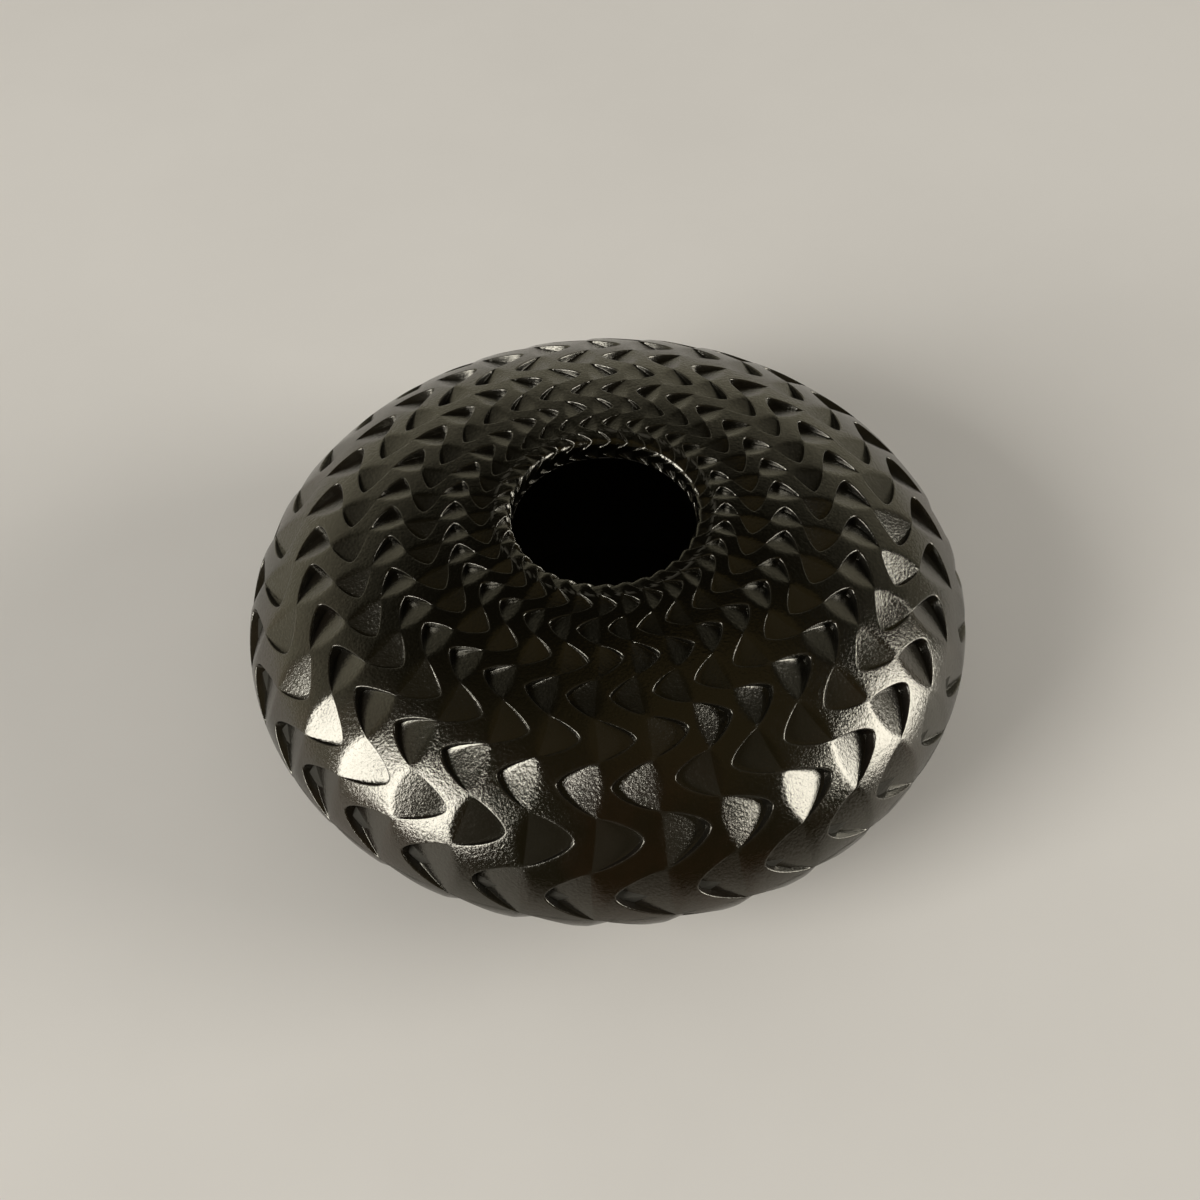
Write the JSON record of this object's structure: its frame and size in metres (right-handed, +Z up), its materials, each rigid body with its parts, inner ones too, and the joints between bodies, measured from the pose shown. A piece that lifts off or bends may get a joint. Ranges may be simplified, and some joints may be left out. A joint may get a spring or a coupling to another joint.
{
  "type": "carved vase",
  "caption": "Squat closed vase with a small round mouth, rows of scooped facets carved all over it and a low foot ring.",
  "frame": {"origin": "on the table, under the middle of the foot ring", "axes": "+Z up along the pot's axis; -Y towards the side that the picture shows; the pot is round, so X and Y only fix where its cuts lie"},
  "size_m": [0.18, 0.1798, 0.0681],
  "materials": {
    "lip_glaze": "black graphite glaze, thin and a little worn at the mouth",
    "body_glaze": "fine-grained black graphite glaze with a soft metallic sheen",
    "inner_clay": "dull black slip over hand-pressed clay",
    "bare_clay": "unglazed dark clay, wiped smooth"
  },
  "bodies": {
    "root": {"lip_ring": "lip_glaze", "upper_shell": "body_glaze", "lower_shell": "body_glaze", "seam_coil": "inner_clay", "base_slab": "body_glaze", "foot_ring": "bare_clay"}
  },
  "joints": []
}
